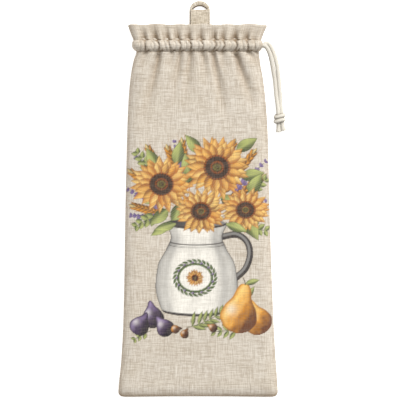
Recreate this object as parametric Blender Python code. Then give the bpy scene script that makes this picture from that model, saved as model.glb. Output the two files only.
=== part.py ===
"""Linen bread bag, empty and lying on its back: +Z is up, and +Y runs towards the hanging loop.

Two cloth panels meet in a seam along the sides and the bottom. Each panel is turned in at its top edge,
and two rows of stitches close the channel in which the drawstring runs. Above the channel the cloth stands
out as a gathered heading. A tape loop is sewn to the back heading. Both ends of the drawstring leave the
channel on the right and share one knot.

Lengths below are millimetres, and MM turns them into metres where a shape is made.
"""

from collections import namedtuple

import bpy
import numpy as np

MM = 0.001

# The bag: its overall length runs from the bottom seam to the top of the loop.
CLOTH = 1.2
GAP = 0.3
LENGTH = 542.0
BOTTOM_Y = -LENGTH / 2
BOTTOM_BOW = 1.2
BOTTOM_ROUND = 16.0
CORNER_RADIUS = 7.0
SEAM_HALF_GAP = 0.45

# The heading and the channel
LOWER_STITCH_Y = 201.9
CHANNEL_Y = 209.2
UPPER_STITCH_Y = 216.6
HEAD_Y = 237.7
HEM_LAYERS = 2.0
HEM_SEAM_CLEAR = 1.5
HEM_END_Y = LOWER_STITCH_Y - 2.5
FRONT_HEM_Z = 14.0
BACK_HEM_RISE = 5.1
HEM_LEFT = 75.0
HEM_RIGHT = 82.0
PLEAT_DEPTH = 3.2
PLEAT_WIDTH = 3.2

# The drawstring
CORD = 5.2
FRONT_CORD_Z = FRONT_HEM_Z + CLOTH / 2 + GAP + CORD / 2
BACK_CORD_Z = CLOTH + GAP + CORD / 2
CORD_TURN_X = -76.0
CORD_SPLIT_X = 78.0
CORD_ON_FLOOR_Z = CORD / 2 + 0.05

# The hanging loop, a doubled tape
TAPE_THICKNESS = 2.6
TAPE_HALF_WIDTH = 14.4
TAPE_X = 2.05
TAPE_FOOT_Y = 219.5
TAPE_ARCH_RISE = 13.4
LOOP_TOP_Y = LENGTH / 2
EYE_REACH = 0.7

# Left and right are the half-widths, seam is the seam's height, front is the height of the front panel's
# ridges, side is how far in from the edge the front rounds off, and slit is how far the right end is open.
Section = namedtuple("Section", "y left right seam front side slit")
SECTIONS = [
    Section(-271.0, 109.6, 109.6, 3.0, 14.2, 18.0, 0.0),
    Section(-263.5, 109.4, 109.6, 3.0, 14.2, 18.0, 0.0),
    Section(-222.0, 105.5, 106.9, 3.0, 14.2, 18.0, 0.0),
    Section(-173.0, 102.8, 104.1, 3.0, 14.2, 18.0, 0.0),
    Section(-107.0, 101.2, 101.4, 3.0, 14.2, 18.0, 0.0),
    Section(-17.0, 99.8, 98.6, 3.0, 14.2, 18.0, 0.0),
    Section(90.0, 97.3, 95.9, 3.0, 14.6, 18.0, 0.0),
    Section(131.0, 95.7, 93.2, 3.2, 15.6, 18.0, 0.0),
    Section(164.0, 93.0, 89.4, 4.0, 17.0, 17.0, 0.0),
    Section(188.7, 88.6, 84.9, 6.0, 18.0, 15.0, 0.0),
    Section(LOWER_STITCH_Y, 84.5, 83.4, 9.0, 19.2, 12.0, 0.0),
    Section(204.5, 88.0, 86.2, 10.4, 23.2, 12.6, 0.85),
    Section(CHANNEL_Y, 90.4, 88.4, 10.8, 25.0, 13.4, 1.0),
    Section(214.0, 90.0, 88.0, 10.4, 23.2, 12.6, 0.85),
    Section(UPPER_STITCH_Y, 88.6, 86.9, 9.0, 19.2, 12.0, 0.0),
    Section(225.0, 91.6, 89.4, 8.4, 19.3, 11.0, 0.0),
    Section(HEAD_Y, 96.4, 94.9, 8.0, 19.0, 10.0, 0.0),
]

# Each fold's valley: its place at the top edge, at the upper stitches, in the channel, at the lower stitches
# and where it dies out in the body, then its depth just under the channel.
Fold = namedtuple("Fold", "head upper channel lower end_x end_y depth")
FOLDS = [
    Fold(-77.4, -72.6, -72.0, -71.4, -86.0, 175.0, 2.0),
    Fold(-61.7, -56.9, -52.7, -53.4, -70.6, 127.0, 3.2),
    Fold(-43.8, -41.1, -39.0, -36.3, -37.7, 175.0, 1.6),
    Fold(-28.8, -26.7, -23.6, -24.8, -35.0, 147.0, 2.0),
    Fold(-12.3, -12.6, -8.9, -10.7, -18.5, 134.0, 2.6),
    Fold(3.4, 3.7, 6.9, 5.3, 11.6, 161.0, 2.0),
    Fold(21.2, 22.3, 24.7, 22.6, 28.0, 140.0, 2.8),
    Fold(35.6, 34.1, 36.3, 32.2, 33.6, 175.0, 1.8),
    Fold(51.4, 50.7, 53.4, 51.4, 78.8, 134.0, 4.0),
    Fold(69.0, 66.3, 67.8, 68.5, 80.0, 184.0, 2.6),
]

# Distances from an edge at which the cloth has its first columns or rows, then the even ones.
EDGE_STEPS = [0.0, 1.5, 4.5, 9.0, 14.0]
FRONT_COLUMNS = 42
BACK_COLUMNS = 14
FRONT_BODY_STEPS = [20, 60, 130, 200, 270, 330, 370, 400, 422, 440, 453, 464]
BACK_BODY_STEPS = [20, 100, 220, 340, 400, 440, 464]
CHANNEL_ROWS = [LOWER_STITCH_Y, 204.5, CHANNEL_Y, 214.0, UPPER_STITCH_Y]
HEADING_ROWS = [222.0, 229.0, 236.0]

# The free ends of the drawstring: they leave the channel on the right, come down and lie on the surface.
Point = namedtuple("Point", "x y z")
FRONT_END_ROUTE = [
    Point(CORD_SPLIT_X + GAP, CHANNEL_Y, FRONT_CORD_Z),
    Point(84.0, 209.6, 17.5),
    Point(88.0, 210.0, 17.2),
    Point(91.5, 208.8, 16.4),
    Point(95.0, 204.8, 14.6),
    Point(97.7, 199.2, 12.3),
    Point(99.7, 192.8, 9.8),
    Point(101.4, 185.6, 7.4),
    Point(103.0, 178.0, 5.4),
    Point(104.5, 170.0, 3.9),
    Point(105.8, 162.2, 3.0),
    Point(106.8, 152.0, 2.7),
    Point(107.6, 143.0, 2.9),
    Point(108.7, 134.0, 4.2),
    Point(109.7, 125.5, 6.2),
    Point(110.2, 117.4, 7.2),
]
BACK_END_ROUTE = [
    Point(CORD_SPLIT_X + GAP, CHANNEL_Y, BACK_CORD_Z),
    Point(84.0, 209.2, 4.2),
    Point(88.4, 209.9, 5.0),
    Point(91.6, 212.4, 5.0),
    Point(94.8, 213.6, 4.4),
    Point(98.3, 211.5, 3.7),
    Point(101.2, 206.8, 3.2),
    Point(104.2, 200.4, 2.9),
    Point(106.4, 194.0, CORD_ON_FLOOR_Z),
    Point(108.2, 187.4, CORD_ON_FLOOR_Z),
    Point(109.6, 180.7, CORD_ON_FLOOR_Z),
    Point(112.0, 165.5, CORD_ON_FLOOR_Z),
    Point(113.1, 154.0, CORD_ON_FLOOR_Z),
    Point(113.7, 143.9, CORD_ON_FLOOR_Z),
    Point(114.0, 132.0, CORD_ON_FLOOR_Z),
    Point(114.2, 124.0, 2.8),
    Point(114.4, 117.2, 3.3),
]
LEFT_TAIL_ROUTE = [Point(110.9, 100.5, 3.2), Point(110.9, 96.0, 2.8), Point(110.9, 91.2, CORD_ON_FLOOR_Z)]
RIGHT_TAIL_ROUTE = [Point(116.5, 100.5, 3.2), Point(117.4, 96.5, 2.8), Point(118.4, 92.3, CORD_ON_FLOOR_Z)]

# The knot is a squat barrel along Y.
KNOT_CENTRE = Point(112.5, 108.8, 5.95)
KNOT_HALF = Point(8.2, 7.5, 5.9)
KNOT_END_SCALE = 0.78
KNOT_SIDES = 14
KNOT_RINGS = 7


def clear_scene():
    for obj in list(bpy.data.objects):
        bpy.data.objects.remove(obj, do_unlink=True)


def material(name, colour, roughness):
    made = bpy.data.materials.new(name)
    made.use_nodes = True
    shader = made.node_tree.nodes["Principled BSDF"]
    shader.inputs["Base Color"].default_value = (*colour, 1.0)
    shader.inputs["Roughness"].default_value = roughness
    shader.inputs["Metallic"].default_value = 0.0
    return made


def smooth(places, values, at):
    """A curve through the values that never overshoots them: cubic pieces with limited slopes."""
    places = np.asarray(places, float)
    values = np.asarray(values, float)
    at = np.clip(at, places[0], places[-1])
    step = np.diff(places)
    slope = np.diff(values) / step
    same_way = slope[:-1] * slope[1:] > 0
    inner = np.where(same_way, 2 * slope[:-1] * slope[1:] / np.where(same_way, slope[:-1] + slope[1:], 1), 0)
    tangent = np.concatenate([slope[:1], inner, slope[-1:]])
    k = np.clip(np.searchsorted(places, at, side="right") - 1, 0, len(step) - 1)
    t = (at - places[k]) / step[k]
    rise = values[k + 1] - values[k]
    bend = (tangent[k] * (1 - t) - tangent[k + 1] * t) * step[k] - rise * (1 - 2 * t)
    return values[k] + rise * t + t * (1 - t) * bend


def section(column, y):
    """One column of SECTIONS at the heights y."""
    return smooth([s.y for s in SECTIONS], [getattr(s, column) for s in SECTIONS], y)


def dome(s):
    """A quarter ellipse: 0 at the edge, 1 from s = 1 inwards."""
    return np.sqrt(1 - (1 - np.clip(s, 0, 1)) ** 2)


def fold_valleys(x, y):
    """How deep the deepest fold is at each point."""
    deepest = np.zeros_like(x)
    for fold in FOLDS:
        stations = [LOWER_STITCH_Y, CHANNEL_Y, UPPER_STITCH_Y, HEAD_Y]
        line = smooth(stations, [fold.lower, fold.channel, fold.upper, fold.head], y)
        below = np.clip((LOWER_STITCH_Y - y) / (LOWER_STITCH_Y - fold.end_y), 0, 1)
        line = line + (fold.end_x - fold.lower) * below**1.3
        depth = np.where(below > 0, fold.depth, PLEAT_DEPTH) * (1 - below)
        width = PLEAT_WIDTH * (1 + 1.2 * below)
        deepest = np.maximum(deepest, depth * np.exp(-(((x - line) / width) ** 2)))
    return deepest


def body_rows(steps):
    """Distances above the bottom edge of the rows of the body."""
    return np.array(EDGE_STEPS + list(steps), float)


def columns(count):
    """Places across the cloth, 0 at the left edge and 1 at the right."""
    edge = np.array(EDGE_STEPS) / 220.0
    middle = np.linspace(edge[-1], 1 - edge[-1], count + 1)[1:-1]
    return np.concatenate([edge, middle, 1 - edge[::-1]])


def outline(across, rows_y, half_cloth):
    """x and y of the points of the rows, inside the bag's outline by half the cloth."""
    y = rows_y[:, None] + 0 * across[None, :]
    above = rows_y - BOTTOM_Y
    corner = np.clip(CORNER_RADIUS - above, 0, CORNER_RADIUS)
    cut = CORNER_RADIUS - np.sqrt(CORNER_RADIUS**2 - corner**2)
    left = section("left", rows_y) - half_cloth - cut
    right = section("right", rows_y) - half_cloth - cut
    x = -left[:, None] + (left + right)[:, None] * across[None, :]
    bow = BOTTOM_BOW * (1 - (x / 110.0) ** 2) * np.clip(1 - above / 60.0, 0, 1)[:, None]
    return x, y + bow + half_cloth * np.clip(1 - above / 8.0, 0, 1)[:, None]


def rim(x, rows_y):
    """How far each point has risen from the seam: 0 on it, 1 away from it; also which side is nearer."""
    y = rows_y[:, None]
    side = section("side", y)
    to_left = x - x[:, :1]
    to_right = x[:, -1:] - x
    bottom = dome((y - BOTTOM_Y) / BOTTOM_ROUND)
    return dome(np.minimum(to_left, to_right) / side) * bottom, to_right < to_left


def outer_layer(across, rows_y, front):
    """The panel's outer layer as a grid of points in its mid-surface."""
    x, y = outline(across, rows_y, CLOTH / 2)
    risen, on_right = rim(x, rows_y)
    seam = section("seam", rows_y)[:, None]
    slit = section("slit", rows_y)[:, None] * on_right
    if front:
        flat = section("front", rows_y)[:, None] - fold_valleys(x, y)
        edge = seam + SEAM_HALF_GAP
    else:
        flat = CLOTH / 2 + 0 * x
        edge = seam - SEAM_HALF_GAP
    edge = edge + (flat - edge) * slit
    return np.stack([x, y, edge + (flat - edge) * risen], axis=2)


def grid_normals(grid):
    across = np.gradient(grid, axis=1)
    along = np.gradient(grid, axis=0)
    normal = np.cross(across, along)
    return normal / np.linalg.norm(normal, axis=2, keepdims=True)


def heading_hem(outer, front):
    """The turned-in layer of the heading: the outer layer moved inwards, from the top fold down."""
    inwards = -1 if front else 1
    inner = outer + inwards * HEM_LAYERS * grid_normals(outer)
    seam = section("seam", outer[:, :, 1])
    if front:
        inner[:, :, 2] = np.maximum(inner[:, :, 2], seam + HEM_SEAM_CLEAR)
    else:
        inner[:, :, 2] = np.minimum(inner[:, :, 2], seam - HEM_SEAM_CLEAR)
    fold = (outer[-1] + inner[-1]) / 2 + np.array([0, HEM_LAYERS / 2, 0])
    return np.concatenate([fold[None], inner[::-1]])


def channel_hem(across, front):
    """The turned-in layer behind the channel. The back one arches over the drawstring."""
    rows_y = np.array(CHANNEL_ROWS[::-1] + [HEM_END_Y])
    x = -HEM_LEFT + (HEM_LEFT + HEM_RIGHT) * across[None, :] + 0 * rows_y[:, None]
    y = rows_y[:, None] + 0 * x
    if front:
        z = FRONT_HEM_Z + 0 * x
    else:
        arch = [0.0, 0.72, 1.0, 0.72, 0.0, 0.0]
        z = CLOTH / 2 + HEM_LAYERS + BACK_HEM_RISE * np.array(arch)[:, None] + 0 * x
    return np.stack([x, y, z], axis=2)


def panel(front):
    """One panel's whole cloth as a grid: up the outside, over the top edge and down behind the channel."""
    across = columns(FRONT_COLUMNS if front else BACK_COLUMNS)
    body = BOTTOM_Y + body_rows(FRONT_BODY_STEPS if front else BACK_BODY_STEPS)
    rows_y = np.concatenate([body, CHANNEL_ROWS, HEADING_ROWS])
    outer = outer_layer(across, rows_y, front)
    heading = outer[-len(HEADING_ROWS) :]
    return np.concatenate([outer, heading_hem(heading, front), channel_hem(across, front)])


def cloth_object(name, grid, thickness, colour, holes=()):
    """A grid of mid-surface points as a closed sheet. Cells named in holes are left open."""
    rows, across = grid.shape[:2]
    corners = np.arange(rows * across).reshape(rows, across)
    faces = [
        (corners[i, j], corners[i, j + 1], corners[i + 1, j + 1], corners[i + 1, j])
        for i in range(rows - 1)
        for j in range(across - 1)
        if (i, j) not in holes
    ]
    mesh = bpy.data.meshes.new(name)
    mesh.from_pydata((grid.reshape(-1, 3) * MM).tolist(), [], [tuple(map(int, f)) for f in faces])
    mesh.materials.append(material(name, colour, 0.85))
    mesh.shade_smooth()
    obj = bpy.data.objects.new(name, mesh)
    bpy.context.collection.objects.link(obj)
    solidify = obj.modifiers.new("thickness", "SOLIDIFY")
    solidify.thickness = thickness * MM
    solidify.offset = 0.0
    return obj


def make_panels():
    linen = (0.68, 0.60, 0.48)
    cloth_object("front_panel", panel(front=True), CLOTH, linen)
    back = panel(front=False)[:, ::-1]
    cloth_object("back_panel", back, CLOTH, linen)


def make_loop():
    """The tape from its foot on the back heading to the arch, with the eye between the last two rows."""
    across = np.array([-1.0, -EYE_REACH, -0.5, -0.25, 0.0, 0.25, 0.5, EYE_REACH, 1.0])
    rest = TAPE_THICKNESS / 2
    on_heading = CLOTH + HEM_LAYERS + GAP + rest
    profile_y = [TAPE_FOOT_Y, 237.0, 241.0, 262.0, LOOP_TOP_Y]
    profile_z = [on_heading, on_heading, on_heading, rest + 0.5, rest + 0.3]
    x = TAPE_X + TAPE_HALF_WIDTH * across
    rows = [np.stack([x, np.full_like(x, y)], axis=1) for y in (TAPE_FOOT_Y, 228, 237, 241, 247, 253)]
    bulge = np.clip(1 - (across / EYE_REACH) ** 2, 0, 1)
    rows.append(np.stack([x, 259.6 - 1.8 * bulge], axis=1))
    rows.append(np.stack([TAPE_X + 0.97 * TAPE_HALF_WIDTH * across, 261.2 + 3.1 * bulge], axis=1))
    turn = np.radians(60) * across
    arch_y = LOOP_TOP_Y - TAPE_ARCH_RISE + TAPE_ARCH_RISE * np.cos(turn)
    rows.append(np.stack([TAPE_X + TAPE_HALF_WIDTH * np.sin(turn), arch_y], axis=1))
    flat = np.array(rows)
    z = smooth(profile_y, profile_z, flat[:, :, 1])
    eye_row = len(rows) - 3
    eye = {(eye_row, j) for j in range(1, len(across) - 2)}
    cloth_object("hanging_loop", np.dstack([flat, z]), TAPE_THICKNESS, (0.72, 0.65, 0.54), eye)


def sampled(route, spacing):
    """Points along one smooth curve through the route's points."""
    points = np.array(route, float)
    along = np.concatenate([[0], np.cumsum(np.linalg.norm(np.diff(points, axis=0), axis=1))])
    count = max(3, int(round(along[-1] / spacing)) + 1)
    at = np.linspace(0, along[-1], count)
    padded = np.concatenate([2 * points[:1] - points[1:2], points, 2 * points[-1:] - points[-2:-1]])
    k = np.clip(np.searchsorted(along, at, side="right") - 1, 0, len(points) - 2)
    t = ((at - along[k]) / (along[k + 1] - along[k]))[:, None]
    before, here, after, beyond = padded[k], padded[k + 1], padded[k + 2], padded[k + 3]
    linear = (after - before) * t
    square = (2 * before - 5 * here + 4 * after - beyond) * t**2
    cube = (3 * here - before - 3 * after + beyond) * t**3
    return here + 0.5 * (linear + square + cube)


def cord_object(name, points):
    """A round cord along the points, closed at both ends."""
    curve = bpy.data.curves.new(name, "CURVE")
    curve.dimensions = "3D"
    curve.bevel_depth = CORD / 2 * MM
    curve.bevel_resolution = 2
    curve.use_fill_caps = True
    spline = curve.splines.new("POLY")
    spline.points.add(len(points) - 1)
    for place, point in zip(spline.points, points):
        place.co = (*(float(value) * MM for value in point), 1.0)
    curve.materials.append(material(name, (0.85, 0.80, 0.68), 0.8))
    bpy.context.collection.objects.link(bpy.data.objects.new(name, curve))


def make_drawstring():
    """In the channel: along the front, round the left end and back behind."""
    middle_z = (FRONT_CORD_Z + BACK_CORD_Z) / 2
    radius = (FRONT_CORD_Z - BACK_CORD_Z) / 2
    run = np.linspace(CORD_SPLIT_X, CORD_TURN_X, 13)
    turn = np.radians(np.linspace(90, -90, 9))[1:-1]
    front = [Point(x, CHANNEL_Y, FRONT_CORD_Z) for x in run]
    bend = [Point(CORD_TURN_X - radius * np.cos(a), CHANNEL_Y, middle_z + radius * np.sin(a)) for a in turn]
    back = [Point(x, CHANNEL_Y, BACK_CORD_Z) for x in run[::-1]]
    cord_object("drawstring_in_channel", front + bend + back)
    cord_object("drawstring_end_front", sampled(FRONT_END_ROUTE, 2 * CORD))
    cord_object("drawstring_end_back", sampled(BACK_END_ROUTE, 2 * CORD))
    cord_object("drawstring_tail_left", sampled(LEFT_TAIL_ROUTE, CORD))
    cord_object("drawstring_tail_right", sampled(RIGHT_TAIL_ROUTE, CORD))


def make_knot():
    """Rings of an ellipse along the barrel's axis, closed by a flat face at each end."""
    turn = np.linspace(0, 2 * np.pi, KNOT_SIDES, endpoint=False)
    points = []
    for along in np.linspace(1, -1, KNOT_RINGS):
        scale = KNOT_END_SCALE + (1 - KNOT_END_SCALE) * np.sqrt(1 - along**2)
        for angle in turn:
            x = KNOT_CENTRE.x + KNOT_HALF.x * scale * np.cos(angle)
            z = KNOT_CENTRE.z + KNOT_HALF.z * scale * np.sin(angle)
            points.append((x * MM, (KNOT_CENTRE.y + KNOT_HALF.y * along) * MM, z * MM))
    faces = [tuple(range(KNOT_SIDES - 1, -1, -1))]
    for ring in range(KNOT_RINGS - 1):
        for side in range(KNOT_SIDES):
            here = ring * KNOT_SIDES + side
            beside = ring * KNOT_SIDES + (side + 1) % KNOT_SIDES
            faces.append((here, beside, beside + KNOT_SIDES, here + KNOT_SIDES))
    last = (KNOT_RINGS - 1) * KNOT_SIDES
    faces.append(tuple(range(last, last + KNOT_SIDES)))
    name = "drawstring_knot"
    mesh = bpy.data.meshes.new(name)
    mesh.from_pydata(points, [], faces)
    mesh.materials.append(material(name, (0.85, 0.80, 0.68), 0.8))
    mesh.shade_smooth()
    bpy.context.collection.objects.link(bpy.data.objects.new(name, mesh))


clear_scene()
make_panels()
make_loop()
make_drawstring()
make_knot()
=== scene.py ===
import math

import bpy
import numpy as np
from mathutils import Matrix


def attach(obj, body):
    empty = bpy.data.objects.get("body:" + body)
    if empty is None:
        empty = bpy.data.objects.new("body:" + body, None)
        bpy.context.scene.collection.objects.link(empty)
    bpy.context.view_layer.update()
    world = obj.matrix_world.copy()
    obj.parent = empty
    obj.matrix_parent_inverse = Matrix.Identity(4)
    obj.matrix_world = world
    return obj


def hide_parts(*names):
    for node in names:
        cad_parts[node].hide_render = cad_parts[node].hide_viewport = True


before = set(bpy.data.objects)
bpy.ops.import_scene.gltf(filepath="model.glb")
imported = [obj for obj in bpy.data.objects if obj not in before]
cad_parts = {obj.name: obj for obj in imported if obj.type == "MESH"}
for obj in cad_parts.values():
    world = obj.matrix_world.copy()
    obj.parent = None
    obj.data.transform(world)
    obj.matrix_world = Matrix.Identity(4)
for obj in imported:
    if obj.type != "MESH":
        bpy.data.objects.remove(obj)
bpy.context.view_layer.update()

mm = 0.001   # shapes are worked out in millimetres and turned into metres as they are made
print("frame loaded")


def through(places, values, at):
    # a curve through the values: cubic pieces whose slopes are limited, so that it never overshoots
    places, values = np.asarray(places, float), np.asarray(values, float)
    at = np.clip(at, places[0], places[-1])
    step = np.diff(places)
    slope = np.diff(values) / step
    sameWay = slope[:-1] * slope[1:] > 0
    total = np.where(sameWay, slope[:-1] + slope[1:], 1)
    inner = np.where(sameWay, 2 * slope[:-1] * slope[1:] / total, 0)
    tangent = np.concatenate([slope[:1], inner, slope[-1:]])
    k = np.clip(np.searchsorted(places, at, side="right") - 1, 0, len(step) - 1)
    t = (at - places[k]) / step[k]
    rise = values[k + 1] - values[k]
    bend = (tangent[k] * (1 - t) - tangent[k + 1] * t) * step[k] - rise * (1 - 2 * t)
    return values[k] + rise * t + t * (1 - t) * bend


def easeIn(s):
    # 0 below 0, 1 above 1, and a smooth S between
    s = np.clip(s, 0, 1)
    return s * s * (3 - 2 * s)


def bump(s):
    # a bell of height 1 at s = 0, with s counted in widths
    return np.exp(-s * s)


def dome(s):
    # a quarter ellipse: 0 at the edge, 1 from s = 1 inwards
    return np.sqrt(np.maximum(1 - (1 - np.clip(s, 0, 1)) ** 2, 0))


def waves(x, y, seed, longest, layers=3):
    # uneven ground between about -1 and 1: three sine sheets a layer, in seeded directions, and each layer
    # is shorter and lower than the one before
    rng = np.random.default_rng(seed)
    total = np.zeros(np.broadcast(x, y).shape)
    for layer in range(layers):
        for _ in range(3):
            turn, phase = rng.uniform(0, 2 * math.pi, 2)
            length = longest * rng.uniform(0.7, 1.3) / 1.8 ** layer
            along = x * math.cos(turn) + y * math.sin(turn)
            total += np.sin(along * 2 * math.pi / length + phase) / 1.7 ** layer
    return total / 4.5


def gridNormals(grid):
    # the cross product of the differences along both ways of a grid of points
    normal = np.cross(np.gradient(grid, axis=1), np.gradient(grid, axis=0))
    return normal / np.maximum(np.linalg.norm(normal, axis=2, keepdims=True), 1e-12)


def reachAlong(path):
    # how far along a path each of its points is: the running sum of its steps
    return np.concatenate([[0], np.cumsum(np.linalg.norm(np.diff(path, axis=0), axis=1))])


def quads(ids):
    # four-cornered faces between neighbours in a grid of point numbers; a transposed grid turns them over
    return np.stack([ids[:-1, :-1], ids[:-1, 1:], ids[1:, 1:], ids[1:, :-1]], axis=2).reshape(-1, 4)


def meshObject(name, points, faceSets, uv=None, colours=None, creases=None):
    # points in millimetres; each face set is an array with one face a row. Flat coordinates, ink colours and
    # painted shade amounts have one value for each point
    mesh = bpy.data.meshes.new(name)
    corners = np.concatenate([faces.ravel() for faces in faceSets]).astype(np.int32)
    totals = np.concatenate([np.full(len(faces), faces.shape[1]) for faces in faceSets]).astype(np.int32)
    starts = np.concatenate([[0], np.cumsum(totals)[:-1]]).astype(np.int32)
    mesh.vertices.add(len(points))
    mesh.vertices.foreach_set("co", (points * mm).astype(np.float32).ravel())
    mesh.loops.add(len(corners))
    mesh.loops.foreach_set("vertex_index", corners)
    mesh.polygons.add(len(totals))
    mesh.polygons.foreach_set("loop_start", starts)
    mesh.polygons.foreach_set("loop_total", totals)
    mesh.update(calc_edges=True)
    mesh.validate()
    mesh.shade_smooth()
    if uv is not None:
        layer = mesh.uv_layers.new(name="cloth")
        layer.data.foreach_set("uv", np.asarray(uv, np.float32)[corners].ravel())
    if colours is not None:
        attribute = mesh.attributes.new("print", "FLOAT_COLOR", "POINT")
        attribute.data.foreach_set("color", np.asarray(colours, np.float32).ravel())
    # the crease attribute carries painted shade
    if creases is not None:
        attribute = mesh.attributes.new("crease", "FLOAT", "POINT")
        attribute.data.foreach_set("value", np.asarray(creases, np.float32).ravel())
    made = bpy.data.objects.new(name, mesh)
    bpy.context.scene.collection.objects.link(made)
    return made


def finish(made, material, slot, *nodes):
    # every piece gets its material, its body and the CAD nodes it stands for; its slot is not used
    made.data.materials.append(material)
    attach(made, "root")
    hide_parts(*nodes)


def addNode(tree, kind, inputs=None, **settings):
    # one shader node: settings are its own fields, and each input takes a value or another node's socket
    node = tree.nodes.new(kind)
    for key, value in settings.items():
        setattr(node, key, value)
    for key, value in (inputs or {}).items():
        if isinstance(value, bpy.types.NodeSocket):
            tree.links.new(value, node.inputs[key])
        else:
            node.inputs[key].default_value = value
    return node


def mathNode(tree, kind, a, b=0.0, c=0.0):
    # one sum on values or sockets
    return addNode(tree, "ShaderNodeMath", {0: a, 1: b, 2: c}, operation=kind).outputs[0]


def mixColour(tree, kind, factor, a, b):
    # colour a at factor 0, and a blended with b at factor 1
    mix = addNode(tree, "ShaderNodeMix", {0: factor, 6: a, 7: b}, data_type="RGBA", blend_type=kind)
    return mix.outputs[2]


def newMaterial(name):
    # a material, its node tree and its shader
    made = bpy.data.materials.new(name)
    made.use_nodes = True
    return made, made.node_tree, made.node_tree.nodes["Principled BSDF"]


stageLook = dict(
    frameWidth=548.0,            # width of what the camera sees at the cloth's height
    centre=(2.7, -1.6, 9.0),
    lens=135.0,
    sensor=36.0,
    floorHalf=3000.0,
    floorDrop=0.05,              # the floor lies this far under the bag
    floorColour=(0.93, 0.93, 0.93, 1),
    floorGlow=0.60,              # light of the floor's own, so that it stays white beside the bag
    worldStrength=0.56,
    keyPower=290.0,
    keyPlace=(1900.0, 3200.0, 3900.0),
    keySize=2100.0,
)


def makeStage(look):
    # a square floor just under the bag, a soft sky, one large soft light from the upper right, and the
    # camera
    half = look["floorHalf"]
    points = np.array([(x, y, -look["floorDrop"]) for x, y in ((-half, -half), (half, -half), (half, half),
                                                               (-half, half))])
    floor = meshObject("floor", points, [np.array([[0, 1, 2, 3]])])
    material, tree, shader = newMaterial("paleFloor")
    shader.inputs["Base Color"].default_value = look["floorColour"]
    shader.inputs["Roughness"].default_value = 0.9
    shader.inputs["Specular IOR Level"].default_value = 0.0
    shader.inputs["Emission Color"].default_value = (1.0, 1.0, 1.0, 1)
    shader.inputs["Emission Strength"].default_value = look["floorGlow"]
    floor.data.materials.append(material)

    world = bpy.data.worlds.new("softSky")
    world.use_nodes = True
    background = world.node_tree.nodes["Background"]
    background.inputs["Color"].default_value = (1.0, 1.0, 1.0, 1)
    background.inputs["Strength"].default_value = look["worldStrength"]
    bpy.context.scene.world = world

    light = bpy.data.lights.new("keyLight", "AREA")
    light.energy = look["keyPower"]
    light.size = look["keySize"] * mm
    light.color = (1.0, 0.985, 0.96)
    lamp = bpy.data.objects.new("keyLight", light)
    lamp.location = [v * mm for v in look["keyPlace"]]
    lamp.rotation_euler = (-lamp.location).to_track_quat("-Z", "Y").to_euler()
    bpy.context.scene.collection.objects.link(lamp)

    camera = bpy.data.cameras.new("camera")
    camera.lens = look["lens"]
    camera.sensor_width = look["sensor"]
    distance = look["frameWidth"] * look["lens"] / look["sensor"]
    holder = bpy.data.objects.new("camera", camera)
    x, y, z = look["centre"]
    holder.location = (x * mm, y * mm, (z + distance) * mm)
    camera.clip_end = 100.0
    bpy.context.scene.collection.objects.link(holder)
    bpy.context.scene.camera = holder
    bpy.context.scene.view_settings.view_transform = "Standard"


makeStage(stageLook)
print("stage made")


linenLook = dict(
    pale=(0.662, 0.609, 0.530, 1),
    middle=(0.482, 0.418, 0.342, 1),
    dark=(0.320, 0.262, 0.195, 1),
    slubPale=(0.760, 0.715, 0.640, 1),
    mottle=(0.955, 0.945, 0.92, 1),
    # painted shade tints: they darken the cloth by its crease attribute, where light reaches it dimly
    paintedShadeTint=(0.50, 0.385, 0.265, 1),   # light that has bounced from cloth to cloth comes out dim and warm
    liningShadeTint=(0.30, 0.24, 0.18, 1),     # and dimmer still inside the loop
    toneFrom=1.085, toneTo=1.405,         # where the sum of the threads' noises turns from middle to pale
    threadPitch=0.75,            # millimetres between threads
    slubLength=26.0,
    slubWidth=1.5,
    bumpHeight=0.10,
    bumpStrength=0.5,
    roughness=0.92,
    sheen=0.12,
    sheenRoughness=0.6,
)


def weaveCoordinates(tree):
    # the cloth's own flat coordinates in metres: x across the cloth, y along it
    return addNode(tree, "ShaderNodeUVMap", uv_map="cloth").outputs["UV"]


def stretchedNoise(tree, uv, across, along, detail, seed):
    # noise stretched along one thread direction; across and along are the sizes of its marks in millimetres
    spread = addNode(tree, "ShaderNodeMapping", {"Vector": uv, "Location": (seed, seed * 0.7, 0.0),
                                                 "Scale": (1000 / across, 1000 / along, 1.0)})
    noise = addNode(tree, "ShaderNodeTexNoise", {"Vector": spread.outputs[0], "Scale": 1.0, "Detail": detail,
                                                 "Roughness": 0.6}, noise_dimensions="2D")
    return noise.outputs["Fac"]


def ramp(tree, value, low, high):
    # 0 below low, 1 above high
    return addNode(tree, "ShaderNodeMapRange", {"Value": value, "From Min": low, "From Max": high},
                   clamp=True).outputs[0]


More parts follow.
